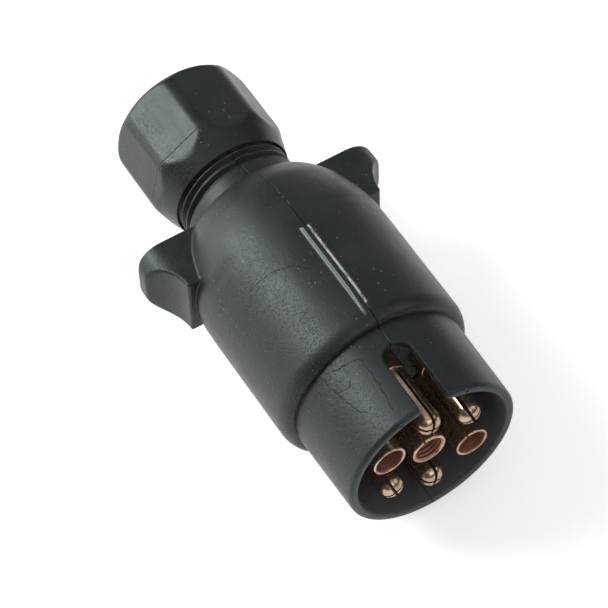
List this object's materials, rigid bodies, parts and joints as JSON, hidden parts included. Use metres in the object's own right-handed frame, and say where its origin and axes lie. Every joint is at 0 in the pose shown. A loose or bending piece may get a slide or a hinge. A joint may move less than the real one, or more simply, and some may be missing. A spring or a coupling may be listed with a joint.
{
  "type": "trailer wiring plug",
  "caption": "Round trailer wiring plug: two black half shells with finger wings, brass split-pin and tube contacts in a keyed sleeve, and an octagonal gland nut at the cable end.",
  "frame": {"origin": "centre of the mouth of the mating sleeve, on the plug's axis", "axes": "+Y along the plug's axis towards the cable end, +Z through the keyway, +X through the right-hand finger wing"},
  "size_m": [0.0606, 0.1088, 0.0474],
  "materials": {
    "shell": "fine-grained moulded black, slightly sheeny",
    "nut": "fine-grained moulded black",
    "carrier": "matt black insulator",
    "contact_brass": "turned, lightly tarnished",
    "screw_steel": "zinc plated",
    "seal_rubber": "matt",
    "washer_plastic": "smooth dark grey"
  },
  "bodies": {
    "plug": {"shell_left": "shell", "shell_right": "shell", "contact_carrier": "carrier", "pin_contact_key": "contact_brass", "pin_contact_upper_right": "contact_brass", "pin_contact_bottom": "contact_brass", "pin_contact_lower_left": "contact_brass", "tube_contact_centre": "contact_brass", "tube_contact_lower_right": "contact_brass", "tube_contact_upper_left": "contact_brass", "terminal_screw_key": "screw_steel", "terminal_screw_upper_right": "screw_steel", "terminal_screw_lower_right": "screw_steel", "terminal_screw_bottom": "screw_steel", "terminal_screw_lower_left": "screw_steel", "terminal_screw_upper_left": "screw_steel", "terminal_screw_centre": "screw_steel", "cable_seal": "seal_rubber"},
    "slip_washer": {"slip_washer": "washer_plastic"},
    "gland_nut": {"gland_nut": "nut"}
  },
  "joints": [
    {"name": "nut_travel", "type": "slide", "parent": "plug", "child": "slip_washer", "axis": [0, 1, 0], "range_m": [-0.00401, 0.01301]},
    {"name": "nut_turn", "type": "hinge", "parent": "slip_washer", "child": "gland_nut", "pos_m": [0, 0.1, 0], "axis": [0, 1, 0], "range_deg": [-720, 2340]}
  ],
  "couplings": [
    {"joint": "nut_travel", "follows": "nut_turn", "m_per_rad": 0.00031831}
  ]
}
